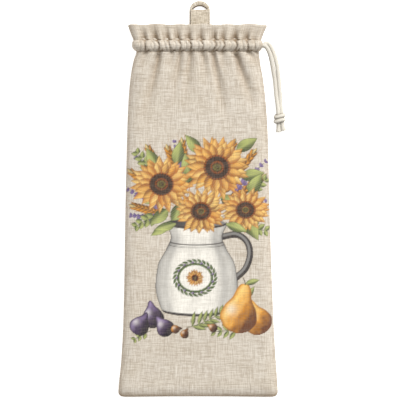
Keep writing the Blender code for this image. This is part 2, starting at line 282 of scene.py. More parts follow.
def linenColour(tree, uv, look):
    # threads both ways, each lighter and darker along itself, with sparse thick slubs and a slow mottle
    length, width = look["slubLength"], look["slubWidth"]
    tone = 0.0
    for across, along, detail, seed, share in ((length, 1.5, 3.0, 3.1, 0.8), (1.5, length, 3.0, 8.7, 0.8),
                                               (7.0, 0.8, 2.0, 14.3, 0.45), (0.8, 7.0, 2.0, 21.9, 0.45)):
        threads = stretchedNoise(tree, uv, across, along, detail, seed)
        tone = mathNode(tree, "MULTIPLY_ADD", threads, share, tone)
    tone = ramp(tree, tone, look["toneFrom"], look["toneTo"])
    colour = mixColour(tree, "MIX", tone, look["middle"], look["pale"])
    mottle = ramp(tree, stretchedNoise(tree, uv, 60.0, 45.0, 2.0, 5.5), 0.35, 0.75)
    colour = mixColour(tree, "MULTIPLY", mottle, colour, look["mottle"])
    slubs = []
    for across, along, seed in ((length, width, 31.0), (width, length, 44.0)):
        slubs.append(ramp(tree, stretchedNoise(tree, uv, across, along, 1.0, seed), 0.66, 0.78))
        pale = ramp(tree, stretchedNoise(tree, uv, across * 1.3, along, 1.0, seed + 5.0), 0.66, 0.80)
        colour = mixColour(tree, "MIX", mathNode(tree, "MULTIPLY", pale, 0.55), colour, look["slubPale"])
    dark = mathNode(tree, "MAXIMUM", slubs[0], slubs[1])
    colour = mixColour(tree, "MIX", mathNode(tree, "MULTIPLY", dark, 0.60), colour, look["dark"])
    return colour, tone, dark


def weaveBump(tree, uv, look, extra):
    # over-and-under threads: the product of two waves, with the pale threads and the slubs standing out
    place = addNode(tree, "ShaderNodeSeparateXYZ", {0: uv})
    turns = 1000 * math.pi / look["threadPitch"]
    u, v = [mathNode(tree, "SINE", mathNode(tree, "MULTIPLY", place.outputs[k], turns)) for k in (0, 1)]
    woven = mathNode(tree, "MULTIPLY", u, v)
    return mathNode(tree, "MULTIPLY_ADD", woven, 0.35, mathNode(tree, "MULTIPLY", extra, 1.2))


def softSurface(tree, shader, colour, height, look):
    # the colour and the relief go into the shader, which is rough, with little mirror light and a faint
    # sheen
    tree.links.new(colour, shader.inputs["Base Color"])
    relief = addNode(tree, "ShaderNodeBump", {"Height": height, "Strength": look["bumpStrength"],
                                              "Distance": look["bumpHeight"] * mm})
    tree.links.new(relief.outputs[0], shader.inputs["Normal"])
    shader.inputs["Roughness"].default_value = look["roughness"]
    shader.inputs["Specular IOR Level"].default_value = 0.2
    shader.inputs["Sheen Weight"].default_value = look["sheen"]
    shader.inputs["Sheen Roughness"].default_value = look["sheenRoughness"]


def makeLinen(name, look, printed=False):
    # the threads' colour, the print's ink over it where there is one, and the painted shade of the folds over
    # both
    material, tree, shader = newMaterial(name)
    uv = weaveCoordinates(tree)
    colour, tone, dark = linenColour(tree, uv, look)
    if printed:
        # the ink sinks between the threads, so the weave still shows through it
        picture = addNode(tree, "ShaderNodeAttribute", attribute_name="print")
        held = mathNode(tree, "MULTIPLY_ADD", tone, 0.12, 0.86)
        threads = mixColour(tree, "MIX", tone, (0.74, 0.74, 0.74, 1), (1.08, 1.08, 1.08, 1))
        inked = mixColour(tree, "MULTIPLY", 0.5, picture.outputs["Color"], threads)
        covered = mathNode(tree, "MULTIPLY", picture.outputs["Alpha"], held)
        colour = mixColour(tree, "MIX", covered, colour, inked)
    # painted shade from the crease attribute: up to 1 dims the colour warm, and from 1 to 2 darker still
    paintedShadeAmount = addNode(tree, "ShaderNodeAttribute", attribute_name="crease").outputs["Fac"]
    colour = mixColour(tree, "MULTIPLY", ramp(tree, paintedShadeAmount, 0.0, 1.0), colour, look["paintedShadeTint"])
    colour = mixColour(tree, "MULTIPLY", ramp(tree, paintedShadeAmount, 1.0, 2.0), colour, look["liningShadeTint"])
    height = weaveBump(tree, uv, look, mathNode(tree, "ADD", tone, dark))
    softSurface(tree, shader, colour, height, look)
    return material


cottonLook = dict(
    middle=(0.58, 0.54, 0.46, 1),
    pale=(0.72, 0.69, 0.62, 1),
    # painted shade on the cord's sides and between the knot's turns
    paintedShadeTint=(0.16, 0.12, 0.08, 1),
    strandsRound=2400.0,         # radians of the strands' waves in a metre, round the cord and along it
    strandsAlong=2000.0,
    bumpHeight=0.18,
    bumpStrength=0.45,
    roughness=0.85,
    sheen=0.2,
    sheenRoughness=0.5,
)


def makeCotton(name, look):
    # soft cotton: two sets of crossing strands, read from the cord's own flat coordinates, with short fibres
    material, tree, shader = newMaterial(name)
    uv = weaveCoordinates(tree)
    place = addNode(tree, "ShaderNodeSeparateXYZ", {0: uv})
    along = mathNode(tree, "MULTIPLY", place.outputs[1], look["strandsAlong"])
    strands = [mathNode(tree, "SINE", mathNode(tree, "MULTIPLY_ADD", place.outputs[0], turns, along))
               for turns in (look["strandsRound"], -look["strandsRound"])]
    braid = mathNode(tree, "MAXIMUM", *strands)
    fibres = stretchedNoise(tree, uv, 0.5, 4.0, 2.0, 9.0)
    tone = mathNode(tree, "MULTIPLY_ADD", braid, 0.18, fibres)
    colour = mixColour(tree, "MIX", ramp(tree, tone, 0.30, 0.70), look["middle"], look["pale"])
    # painted shade from the crease attribute darkens the cord's sides and the gaps between the knot's turns
    cordShadeAmount = addNode(tree, "ShaderNodeAttribute", attribute_name="crease").outputs["Fac"]
    colour = mixColour(tree, "MULTIPLY", ramp(tree, cordShadeAmount, 0.0, 1.0), colour, look["paintedShadeTint"])
    softSurface(tree, shader, colour, mathNode(tree, "MULTIPLY_ADD", fibres, 0.5, braid), look)
    return material


tapeLook = dict(linenLook, pale=(0.66, 0.60, 0.505, 1), middle=(0.42, 0.362, 0.282, 1), threadPitch=0.6,
                slubLength=9.0, slubWidth=1.1)
linen = makeLinen("naturalLinen", linenLook)
printedLinen = makeLinen("printedLinen", linenLook, printed=True)
tapeLinen = makeLinen("linenTape", tapeLook)
cotton = makeCotton("cottonCord", cottonLook)
print("materials made")


cordLook = dict(
    diameter=5.8,
    sides=20,
    rowStep=0.6,
    braidHeight=0.07,
    braidPitch=5.6,
    pinch=0.10, pinchLength=3.0,     # share of the radius that the knot takes up, and over what length
    flare=0.75, flareLength=8.0,     # how much wider the cut tail opens
    tipDrop=0.5, tipLength=0.8,      # rounding of the very end
    exitX=88.4, exitY=209.0,
)

frontEndRoute = [   # x, y, z from the channel's mouth down to the knot, through it and out as the left tail
    (78.3, 209.2, 17.5), (84.0, 209.6, 17.5), (88.0, 210.0, 17.2), (91.5, 208.8, 16.4),
    (95.0, 204.8, 14.6), (97.7, 199.2, 12.4), (99.7, 192.8, 10.0), (101.4, 185.6, 7.7),
    (103.0, 178.0, 5.7), (104.5, 170.0, 4.3), (105.8, 162.2, 3.4), (106.8, 152.0, 3.1),
    (107.6, 143.0, 3.3), (108.7, 134.0, 4.4), (109.7, 125.5, 6.2), (110.2, 117.4, 7.2),
    (110.4, 109.0, 5.6), (110.6, 101.0, 3.9), (110.7, 96.5, 3.6), (110.7, 91.6, 3.75),
]
backEndRoute = [    # x, y, z of the end that lies on the right, out as the right tail
    (78.3, 209.2, 4.2), (84.0, 209.2, 4.3), (88.4, 209.9, 5.0), (91.6, 212.4, 5.0),
    (94.8, 213.6, 4.4), (98.3, 211.5, 3.9), (101.2, 206.8, 3.4), (104.2, 200.4, 3.15),
    (106.3, 194.0, 3.1), (107.9, 187.4, 3.1), (109.2, 180.7, 3.1), (111.0, 165.5, 3.1),
    (111.9, 154.0, 3.1), (112.8, 143.9, 3.1), (113.5, 132.0, 3.1), (114.0, 124.0, 3.15),
    (114.4, 117.2, 3.4), (115.2, 109.0, 3.8), (116.2, 101.0, 3.7), (117.0, 97.2, 3.6),
    (117.8, 93.6, 3.75),
]


def smoothRoute(route, step):
    # one smooth curve through the route's points, a cubic between each two, read at even steps along it
    points = np.array(route, float)
    reach = reachAlong(points)
    at = np.linspace(0, reach[-1], max(4, int(reach[-1] / step)))
    ends = np.concatenate([2 * points[:1] - points[1:2], points, 2 * points[-1:] - points[-2:-1]])
    k = np.clip(np.searchsorted(reach, at, side="right") - 1, 0, len(points) - 2)
    t = ((at - reach[k]) / (reach[k + 1] - reach[k]))[:, None]
    before, here, after, beyond = ends[k], ends[k + 1], ends[k + 2], ends[k + 3]
    return here + 0.5 * ((after - before) * t + (2 * before - 5 * here + 4 * after - beyond) * t ** 2
                         + (3 * here - before - 3 * after + beyond) * t ** 3)


def acrossPath(path):
    # two unit vectors square to the path at each of its points: one nearly level, and one that leans upwards
    ahead = np.gradient(path, axis=0)
    ahead /= np.linalg.norm(ahead, axis=1, keepdims=True)
    side = np.cross(ahead, np.array([0.05, 0.02, 1.0]))
    side /= np.linalg.norm(side, axis=1, keepdims=True)
    return side, np.cross(side, ahead)


def joined(name, *shapes):
    # several closed shapes, each of points, face sets, flat coordinates and painted shade amounts, as one
    # mesh
    start, points, faceSets, uvs, creases = 0, [], [], [], []
    for shapePoints, shapeFaces, shapeUvs, shapeCreases in shapes:
        points.append(shapePoints)
        uvs.append(shapeUvs)
        creases.append(np.broadcast_to(shapeCreases, len(shapePoints)))
        faceSets += [faces + start for faces in shapeFaces]
        start += len(shapePoints)
    points, uvs, creases = [np.concatenate(parts) for parts in (points, uvs, creases)]
    return meshObject(name, points, faceSets, uvs, creases=creases)


def tubeShape(path, radii, sides, braidHeight=0.0, flatness=1.0, sideShade=0.0):
    # a circle carried along the path; its radius is the stated one, plus crossing ridges like a braid's.
    # Flatness scales its height against its width; its two sides take the side shade as painted shade
    side, lift = acrossPath(path)
    a, s = np.meshgrid(np.linspace(0, 2 * math.pi, sides, endpoint=False), reachAlong(path))
    climb = s * 2 * math.pi / cordLook["braidPitch"] * 2
    ridges = np.maximum(np.sin(4 * a + climb), np.sin(4 * a - climb))
    r = np.asarray(radii)[:, None] + braidHeight * (ridges - 0.5)
    flatness = np.broadcast_to(flatness, len(path))[:, None, None]
    ring = path[:, None] + r[..., None] * (np.cos(a)[..., None] * side[:, None]
                                           + flatness * np.sin(a)[..., None] * lift[:, None])
    ids = np.arange(a.size).reshape(a.shape)
    walls = quads(np.column_stack([ids, ids[:, 0]]))
    caps = np.array([ids[0][::-1], ids[-1]])
    uv = np.stack([a * np.mean(radii) * mm, s * mm], axis=2).reshape(-1, 2)
    # painted shade, strongest on the tube's two level sides
    creases = sideShade * np.abs(np.cos(a)) ** 3
    return ring.reshape(-1, 3), [walls[:, ::-1], caps[:, ::-1]], uv, creases.ravel()


def cordRadii(path, look, tail):
    # even along the cord, pinched a little where the knot grips it, flared where the cut tail opens, and
    # drawn in again at its very end
    reach = reachAlong(path)
    left = reach[-1] - reach
    pinched = look["diameter"] / 2 * (1 - look["pinch"] * bump((left - tail) / look["pinchLength"]))
    opened = look["flare"] * easeIn(1 - left / look["flareLength"])
    return pinched + opened - look["tipDrop"] * easeIn(1 - left / look["tipLength"])


def makeFreeEnd(name, route, tail, nodes, shade):
    # one end of the cord, from the channel through the knot to its cut tail, as a tube along its route
    path = smoothRoute(route, cordLook["rowStep"])
    radii = cordRadii(path, cordLook, tail)
    made = joined(name, tubeShape(path, radii, cordLook["sides"], cordLook["braidHeight"], sideShade=shade))
    finish(made, cotton, "cord", *nodes)


knotLook = dict(
    middleX=111.9, topY=114.8, middleZ=6.1,
    halfWidth=4.9, halfHeight=2.7,
    pitch=5.9,                   # how far down the cord the coil goes in one turn
    lean=2.6,                    # how far its right side stands over its middle
    firstTurn=-0.14, lastTurn=1.72, rows=150,
    radius=3.1, braidHeight=0.05,
)


def knotPath(look):
    # two turns of an oval helix about the two ends, climbing to the right on the side that shows
    turn = np.linspace(look["firstTurn"], look["lastTurn"], look["rows"])
    angle = 2 * math.pi * turn
    x = look["middleX"] - look["halfWidth"] * np.cos(angle)
    y = look["topY"] - look["pitch"] * turn - look["lean"] * np.cos(angle)
    z = look["middleZ"] + look["halfHeight"] * np.sin(angle)
    return np.stack([x, y, z], axis=1)


knotRadii = np.full(knotLook["rows"], knotLook["radius"])
# the knot is painted in full side shade, which darkens the gaps between its turns
knotCoil = joined("drawstringKnot", tubeShape(knotPath(knotLook), knotRadii, cordLook["sides"],
                                              knotLook["braidHeight"], sideShade=1.0))
finish(knotCoil, cotton, "cord", "drawstring_knot")
# the front end's sides are painted darker than the back end's
makeFreeEnd("drawstringFrontEnd", frontEndRoute, 20.0, ("drawstring_end_front", "drawstring_tail_left"),
            0.36)
makeFreeEnd("drawstringBackEnd", backEndRoute, 18.0, ("drawstring_end_back", "drawstring_tail_right"),
            0.13)
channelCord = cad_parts["drawstring_in_channel"]   # hidden, so its CAD tube stays and takes the cotton
channelCord.data.materials.clear()
channelCord.data.materials.append(cotton)
print("drawstring made")


bagLook = dict(
    bottomY=-272.0, bottomRound=16.0, cornerRadius=7.0, seamHalfGap=0.45, cloth=0.9,
    bottomBow=1.3, bowHalf=110.0, bowReach=60.0,     # the bottom edge's bow, and how far up it is felt
    insetReach=8.0,
    lowerStitch=201.9, channelY=209.2, upperStitch=216.6, headY=237.7,
    padHalf=7.4,                 # from the middle of the channel to its stitches
    stitchSoft=2.6,              # how gradually the channel's creases begin and end at the stitches
    hemTop=14.9,                 # the front never sinks under this over the hem
    hemGap=1.7, hemClear=1.3, hemRound=0.85, hemLeft=-75.0, hemWidth=157.0,
)

# y, left and right half-widths, seam height, height of the front's ridges, how far in the edge rounds, and
# how open the right slit is
sections = np.array([
    (-272.0, 109.6, 109.8, 3.0, 14.2, 18.0, 0.0),
    (-263.5, 109.4, 109.6, 3.0, 14.2, 18.0, 0.0),
    (-222.0, 105.5, 106.9, 3.0, 14.2, 18.0, 0.0),
    (-173.0, 102.8, 104.1, 3.0, 14.2, 18.0, 0.0),
    (-107.0, 101.2, 101.4, 3.0, 14.2, 18.0, 0.0),
    (-17.0, 99.8, 98.6, 3.0, 14.2, 18.0, 0.0),
    (90.0, 97.3, 95.9, 3.0, 14.6, 18.0, 0.0),
    (131.0, 95.7, 93.2, 3.2, 15.6, 18.0, 0.0),
    (164.0, 93.0, 89.4, 4.0, 17.0, 17.0, 0.0),
    (188.7, 88.6, 84.9, 6.0, 18.4, 15.0, 0.0),
    (201.9, 84.5, 83.4, 9.0, 19.6, 12.0, 0.0),
    (204.5, 88.0, 86.2, 10.4, 23.4, 12.6, 0.85),
    (209.2, 90.4, 88.4, 10.8, 25.2, 13.4, 1.0),
    (214.0, 90.0, 88.0, 10.4, 23.4, 12.6, 0.85),
    (216.6, 88.6, 86.9, 9.0, 19.6, 12.0, 0.0),
    (225.0, 91.6, 89.4, 8.4, 19.6, 11.0, 0.0),
    (237.7, 96.4, 94.9, 8.0, 19.2, 10.0, 0.0),
])
sectionNames = ["y", "left", "right", "seam", "front", "side", "slit"]

# each fold's valley: x at the top edge, the upper stitches, the channel and the lower stitches, x and y
# where it dies out, and its depth. The last one is faint and rounds the channel's right end
folds = np.array([
    (-77.4, -72.6, -72.0, -71.4, -86.0, 172.0, 2.4),
    (-61.7, -56.9, -52.7, -53.4, -79.0, 94.0, 3.6),
    (-43.8, -41.1, -39.0, -36.3, -37.7, 172.0, 1.8),
    (-28.8, -26.7, -23.6, -24.8, -36.5, 122.0, 2.6),
    (-12.3, -12.6, -8.9, -10.7, -20.0, 122.0, 2.8),
    (3.4, 3.7, 6.9, 5.3, 14.0, 146.0, 2.2),
    (21.2, 22.3, 24.7, 19.6, 41.0, 94.0, 3.2),
    (35.6, 34.1, 36.3, 32.2, 33.6, 172.0, 2.0),
    (51.4, 50.7, 53.4, 50.4, 81.0, 114.0, 4.4),
    (69.0, 66.3, 67.8, 68.5, 80.0, 182.0, 2.8),
    (79.0, 76.4, 77.6, 77.0, 86.0, 186.0, 1.6),
])
foldStrengths = [1.0] * (len(folds) - 1) + [0.42]


def section(name, y):
    # one column of the sections at the heights y, as a smooth curve through its values
    return through(sections[:, 0], sections[:, sectionNames.index(name)], y)


def foldLines(y):
    # the x of every fold's valley at the heights y, and how far down towards its end each point is
    look = bagLook
    heights = [look["lowerStitch"], look["channelY"], look["upperStitch"], look["headY"]]
    lines, ends = [], []
    for head, upper, channel, lower, endX, endY, _ in folds:
        below = np.clip((look["lowerStitch"] - y) / (look["lowerStitch"] - endY), 0, 1)
        lines.append(through(heights, [lower, channel, upper, head], y) + (endX - lower) * below ** 1.1)
        ends.append(below)
    return lines, ends


def bagOutline(across, rowsY):
    # points of each row run from the left outline to the right one, half a cloth inside it. Circles round
    # the two bottom corners, and the lowest rows follow the bottom's bow, which is a parabola
    look = bagLook
    inset = look["cloth"] / 2
    above = rowsY - look["bottomY"]
    corner = np.clip(look["cornerRadius"] - above, 0, look["cornerRadius"])
    cut = look["cornerRadius"] - np.sqrt(look["cornerRadius"] ** 2 - corner ** 2)
    left = section("left", rowsY) - inset - cut
    right = section("right", rowsY) - inset - cut
    x = -left[:, None] + (left + right)[:, None] * across[None, :]
    bow = look["bottomBow"] * (1 - (x / look["bowHalf"]) ** 2)
    y = rowsY[:, None] + bow * np.clip(1 - above / look["bowReach"], 0, 1)[:, None]
    return x, y + inset * np.clip(1 - above / look["insetReach"], 0, 1)[:, None]


def fromSeams(x):
    # how far each point is from the nearer side seam
    return np.minimum(x - x[:, :1], x[:, -1:] - x)


def roundedOff(x, y, flat, gap):
    # heights that rise from the seam to the flat height in quarter ellipses, in from the sides and up from
    # the bottom. The right edge stays at the flat height where the slit is. The second result is 0 on the
    # seam and 1 away from it
    risen = dome(fromSeams(x) / section("side", y))
    risen = risen * dome((y - bagLook["bottomY"]) / bagLook["bottomRound"])
    seam = section("seam", y) + gap
    onRight = x[:, -1:] - x < x - x[:, :1]
    edge = seam + (flat - seam) * section("slit", y) * onRight
    return edge + (flat - edge) * risen, risen


def lopsided(away, leftWidth, rightWidth):
    # a bell with a width of its own on each side
    return bump(away / np.where(away < 0, leftWidth, rightWidth))


def gathers(x, y):
    # what the folds take away from the front's height: in the channel a thin deep crease with a bead on its
    # left, in the heading and the body a soft trough that widens and dies away. A tuck is where a stitch
    # pulls a pad in
    look = bagLook
    inChannel = easeIn((y - look["lowerStitch"] + 0.8) / look["stitchSoft"])
    inChannel = inChannel * easeIn((look["upperStitch"] + 0.8 - y) / look["stitchSoft"])
    headUp = np.clip((y - look["upperStitch"]) / (look["headY"] - look["upperStitch"]), 0, 1)
    toStitch = np.clip(np.abs(y - look["channelY"]) / look["padHalf"], 0, 1) ** 2
    deepest, beads, tucks = np.zeros((3,) + x.shape)
    for line, below, fold, strength in zip(*foldLines(y), folds, foldStrengths):
        away, depth = x - line, fold[6]
        beadWidth = 4.9 + 0.65 * depth
        crease = (4.7 + 0.5 * depth) * lopsided(away, 1.2 + 1.9 * toStitch, 0.9 + 1.6 * toStitch)
        second = (1.0 + 2.3 * toStitch) * bump((away + beadWidth) / (0.9 + 0.9 * toStitch))
        softHead = (8.8 * (1 - headUp) ** 1.7 + 0.5) * (0.6 + 0.16 * depth)
        softHead = softHead * lopsided(away, 4.8 + headUp, 2.8 + 2.0 * headUp)
        width = 1 + 1.7 * below
        softBody = 2.3 * depth * (1 - below) ** 1.15 * lopsided(away, 3.2 * width, 3.8 * width)
        inside = inChannel * np.maximum(crease, second)
        outside = (1 - inChannel) * np.where(y > look["channelY"], softHead, softBody)
        deepest = np.maximum(deepest, strength * (inside + outside))
        beads = np.maximum(beads, strength * bump((away + beadWidth / 2) / 2.0))
        tucks = np.maximum(tucks, bump((away - 4.3) / 2.0) * (0.4 + 0.6 * strength) * (0.62 + 0.13 * depth))
    return deepest, beads, tucks


def stitchLines(tucks):
    # the y of the lower and of the upper stitches, which wander a little where a pad is pulled in
    return bagLook["lowerStitch"] - 0.9 + 2.1 * tucks, bagLook["upperStitch"] + 0.3 - 0.4 * tucks


def frontHeights(x, y):
    # the front cloth before it rounds off at the edges: its section's height less the folds and a groove
    # along each line of stitches, plus the channel's beads and a slow unevenness on the body
    look = bagLook
    deepest, beads, tucks = gathers(x, y)
    middle = np.clip(1 - np.abs(y - look["channelY"]) / look["padHalf"], 0, 1)
    z = section("front", y) - deepest + 0.7 * beads * dome(middle * 1.2) * (middle > 0)
    lower, upper = stitchLines(tucks)
    z = z - (1.7 + 2.2 * tucks) * bump((y - lower) / 0.95)
    z = z - (0.5 + 2.8 * tucks ** 2) * bump((y - upper) / 0.85)
    overHem = easeIn((y - 197.0) / 2.5) * easeIn((219.0 - y) / 2.0)
    z = z + np.maximum(look["hemTop"] - z, 0) * overHem
    return z + 0.35 * easeIn((195.0 - y) / 60.0) * waves(x, y, 11, 120.0)


shadeLook = dict(
    fullDepth=6.5,               # a fold this deep is as dark as folds get
    bodyFolds=0.50, upperFolds=0.84,
    heading=0.05,
    unfoldedBelow=92.0,          # the cloth below this has no fold shade, which comes in gradually above it
    bottomEdge=0.95, bottomWidth=5.0,
    seams=0.30, leftSeamMore=0.16, seamWidth=3.8,
)


def foldShade(grid):
    # how far the light has to bounce to reach each point: deep in a fold, along the stitches, in the
    # heading, and in the turns of the cloth along the side seams and the bottom edge
    look = shadeLook
    x, y = grid[..., 0], grid[..., 1]
    deepest, beads, tucks = gathers(x, y)
    lower, _ = stitchLines(tucks)
    share = np.where(y < bagLook["lowerStitch"], look["bodyFolds"], look["upperFolds"])
    shade = np.clip(deepest / look["fullDepth"], 0, 1) ** 0.9 * (0.85 - 0.25 * beads) * share
    shade = shade + (0.30 + 0.55 * tucks) * bump((y - lower) / 1.2)
    shade = shade + 0.85 * tucks ** 2 * bump((y - bagLook["upperStitch"]) / 0.9)
    shade = shade + look["heading"] * easeIn((y - 214.0) / 5.0) + 0.05 * waves(x, y, 12, 20.0) * (y > 150)
    shade = shade * easeIn((y - look["unfoldedBelow"]) / 20.0)
    shade = shade + look["bottomEdge"] * bump((y - bagLook["bottomY"]) / look["bottomWidth"])
    # painted shade along the seams, more on the left seam, which faces away from the light
    shade = shade + (look["seams"] + look["leftSeamMore"] * (x < 0)) * bump(fromSeams(x) / look["seamWidth"])
    return np.clip(shade, 0, 1)


def frontSurface(across, rowsY):
    # the front's heights rounded off to the seam, with short puckers along the seam and a top edge that
    # wanders
    x, y = bagOutline(across, rowsY)
    z, risen = roundedOff(x, y, frontHeights(x, y), bagLook["seamHalfGap"])
    puckers = 0.35 * bump(fromSeams(x) / 6.0) * (y < 195) * np.sin(y / 2.6 + 2.0 * np.sin(y / 21.0))
    wander = easeIn((y - 231.0) / 6.0) * (0.5 * np.sin(x / 5.1) + 0.35 * np.sin(x / 9.7 + 1.0))
    return np.stack([x, y + wander, z + puckers * risen], axis=2)


def backSurface(across, rowsY):
    # flat where it lies; its gathers lift off the surface near the channel, and its edges turn up to the
    # seam
    x, y = bagOutline(across, rowsY)
    lifted = 0.45 * gathers(-x, y)[0] * easeIn((y - 120.0) / 70.0)
    z, _ = roundedOff(x, y, bagLook["cloth"] / 2 + lifted, -bagLook["seamHalfGap"])
    return np.stack([x, y, z], axis=2)


def spacedRows(*runs):
    # runs of (start, end, step) joined into one rising list that closes with the last end
    parts = [np.linspace(start, end, max(1, round((end - start) / step)), endpoint=False)
             for start, end, step in runs]
    return np.concatenate(parts + [[runs[-1][1]]])


def hemGrid(outer, across, front):
    # the turned-in cloth: round the top edge in a half circle, down the heading's inside, then behind the
    # channel, flat for the front panel and arched over the cord for the back one
    look = bagLook
    inwards = -1 if front else 1
    inner = outer + inwards * look["hemGap"] * gridNormals(outer)
    clear = section("seam", outer[..., 1]) - inwards * look["hemClear"]
    inner[..., 2] = np.maximum(inner[..., 2], clear) if front else np.minimum(inner[..., 2], clear)
    turn = np.radians([45, 90, 135])[:, None, None]
    middle, half = (outer[-1] + inner[-1]) / 2, (outer[-1] - inner[-1]) / 2
    fold = middle + half * np.cos(turn) + np.array([0, look["hemRound"], 0]) * np.sin(turn)
    y = np.array([216.6, 215.0, 212.5, 209.2, 206.0, 203.4, 201.9, 199.4])[:, None]
    arch = np.array([0.0, 0.45, 0.86, 1.0, 0.86, 0.45, 0.0, 0.0])[:, None]
    x = look["hemLeft"] + look["hemWidth"] * across
    behind = np.stack(np.broadcast_arrays(x, y, 14.0 if front else 2.8 + 4.9 * arch), axis=2)
    return np.concatenate([fold, inner[::-1][::3], behind])


def clothShape(grid, thickness, flatUv, zones):
    # one closed cloth: the outer skin is the whole grid moved out by half the thickness. The inner skin is
    # the grid moved in, read at fewer places: zones are (first row, row step, column step), each finer than
    # the last. Faces with more corners join one zone to the next, and the two skins along the rim
    rows, cols = grid.shape[:2]
    normal = gridNormals(grid)
    outer, inner = grid + normal * thickness / 2, grid - normal * thickness / 2
    idOut = np.arange(rows * cols).reshape(rows, cols)
    points, uvs, faces = [outer.reshape(-1, 3)], [flatUv.reshape(-1, 2)], [quads(idOut)]
    used = rows * cols
    rowLists, idLists = [], []
    for k, (first, rowStep, colStep) in enumerate(zones):
        end = zones[k + 1][0] if k + 1 < len(zones) else rows
        these = np.arange(first, end, rowStep)
        if end == rows and these[-1] != rows - 1:
            these = np.append(these, rows - 1)
        part = inner[these][:, ::colStep]
        ids = used + np.arange(part.shape[0] * part.shape[1]).reshape(part.shape[:2])
        used += ids.size
        points.append(part.reshape(-1, 3))
        uvs.append(flatUv[these][:, ::colStep].reshape(-1, 2))
        faces.append(quads(ids.T))
        rowLists.append(these)
        idLists.append(ids)
    for (ids, nextIds), (here, there) in zip(zip(idLists, idLists[1:]), zip(zones, zones[1:])):
        n = here[2] // there[2]
        ups = [nextIds[0, k::n][:ids.shape[1] - 1] for k in range(n)] + [nextIds[0, n::n]]
        faces.append(np.stack([ids[-1, :-1]] + ups + [ids[-1, 1:]], axis=1))
    outRows = np.concatenate(rowLists)
    for side in (0, -1):
        inIds = np.concatenate([ids[:, side] for ids in idLists])
        for step in np.unique(np.diff(outRows)):
            k = np.flatnonzero(np.diff(outRows) == step)
            fan = [idOut[outRows[k] + s, side] for s in range(step + 1)]
            face = np.stack([inIds[k]] + fan + [inIds[k + 1]], axis=1)
            faces.append(face if side == 0 else face[:, ::-1])
    for row, ids, colStep in ((0, idLists[0][0], zones[0][2]), (-1, idLists[-1][-1], zones[-1][2])):
        fan = [idOut[row, s::colStep][:len(ids) - 1] for s in range(colStep)] + [idOut[row, colStep::colStep]]
        face = np.stack([ids[:-1]] + fan + [ids[1:]], axis=1)
        faces.append(face[:, ::-1] if row == 0 else face)
    return np.concatenate(points), faces, np.concatenate(uvs), 0.0


panelFlat = (0.222, 0.548)   # each panel before sewing and gathering, in metres


def flatCoordinates(grid):
    # where each point lies on the cloth before it was gathered, in metres: columns spread evenly over the
    # panel's width, and rows by their distance down the middle column
    down = reachAlong(grid[:, grid.shape[1] // 2])[:, None]
    across = np.linspace(-panelFlat[0] / 2, panelFlat[0] / 2, grid.shape[1])
    return np.stack(np.broadcast_arrays(across, down * mm), axis=2)


def evenAcross(columns):
    # places from 0 to 1 across the cloth: even ones, and half a sine brings them closer in the rounded edges
    t = np.linspace(-1, 1, columns)
    return (t + 0.035 * np.sin(math.pi * t)) / 2 + 0.5


printLook = dict(
    soft=0.9,                    # width of a brush edge in millimetres
    sunk=0.90,                   # how light the ink stays once it has sunk into the cloth
    bare=(0.60, 0.53, 0.42),
    jugX=-2.0, jugBase=-158.0, jugRim=-36.0,
    jugPlaces=(-158.0, -146.0, -120.0, -92.0, -68.0, -52.0, -36.0),
    jugHalves=(44.0, 50.0, 56.0, 53.0, 41.0, 35.0, 41.0),
    jugHandle=((34, -52), (55, -49), (69, -59), (73, -76), (67, -95), (54, -108)),
    wreathX=-4.0, wreathY=-108.0,
    # x, y, radius, squash and seed of each flower; the last one hangs over the jug's rim
    flowers=((-50.0, 20.0, 43.0, 0.93, 1), (26.0, 43.0, 46.0, 0.95, 2), (65.0, -15.0, 35.0, 0.88, 3),
             (4.0, -17.0, 36.0, 0.90, 4)),
    # x, y, direction and length
    ears=((-4.0, -34.0, 141.0, 122.0), (-4.0, -34.0, 122.0, 132.0), (-4.0, -34.0, 99.0, 122.0),
          (-4.0, -34.0, 110.0, 118.0), (0.0, -34.0, 52.0, 134.0), (0.0, -34.0, 36.0, 118.0),
          (-4.0, -34.0, 164.0, 94.0), (0.0, -34.0, 66.0, 130.0)),
    lavender=((-8.0, -34.0, 152.0, 106.0), (-6.0, -34.0, 131.0, 128.0), (4.0, -34.0, 44.0, 132.0),
              (-4.0, -34.0, 104.0, 124.0), (-10.0, -34.0, 172.0, 88.0), (6.0, -34.0, 20.0, 98.0)),
    backSprigs=((-52, -22, 196, 34), (56, -34, -18, 36), (62, 6, 28, 34), (-62, 34, 118, 34)),
    sprigs=((-16.0, -176.0, 8.0, 50.0), (-64.0, -180.0, -162.0, 24.0), (60.0, -182.0, 168.0, 36.0)),
    # x, y and direction
    backLeaves=((-46.0, 8.0, 205.0), (-54.0, 40.0, 120.0), (-30.0, 46.0, 80.0), (-20.0, 20.0, 60.0),
                (4.0, 62.0, 130.0), (52.0, 66.0, 30.0), (58.0, 30.0, 10.0), (70.0, 6.0, 60.0),
                (30.0, 4.0, 330.0), (66.0, -28.0, 300.0), (-40.0, -14.0, 220.0), (-24.0, -6.0, 250.0),
                (-12.0, 30.0, 100.0)),
    rimLeaves=((-38.0, -34.0, 212.0), (-30.0, -34.0, 196.0), (38.0, -34.0, -20.0)),
    # x, y, size, direction and seed
    pears=((56.0, -158.0, 31.0, 78.0, 5), (81.0, -166.0, 24.0, 118.0, 6)),
    figs=((-62.0, -160.0, 17.0, 100.0, 7), (-79.0, -172.0, 15.0, 60.0, 8), (-46.0, -175.0, 14.0, 128.0, 9)),
    nuts=((-30.0, -178.0, 7.0, 10.0, 60), (-18.0, -184.0, 7.0, 60.0, 72), (20.0, -176.0, 7.0, 150.0, 110)),
)


def display(*values):
    # ink from display values of 0 to 255: turned linear, then dimmed by the share that sinks in
    v = np.array(values) / 255
    return np.where(v > 0.04045, ((v + 0.055) / 1.055) ** 2.4, v / 12.92) * printLook["sunk"]


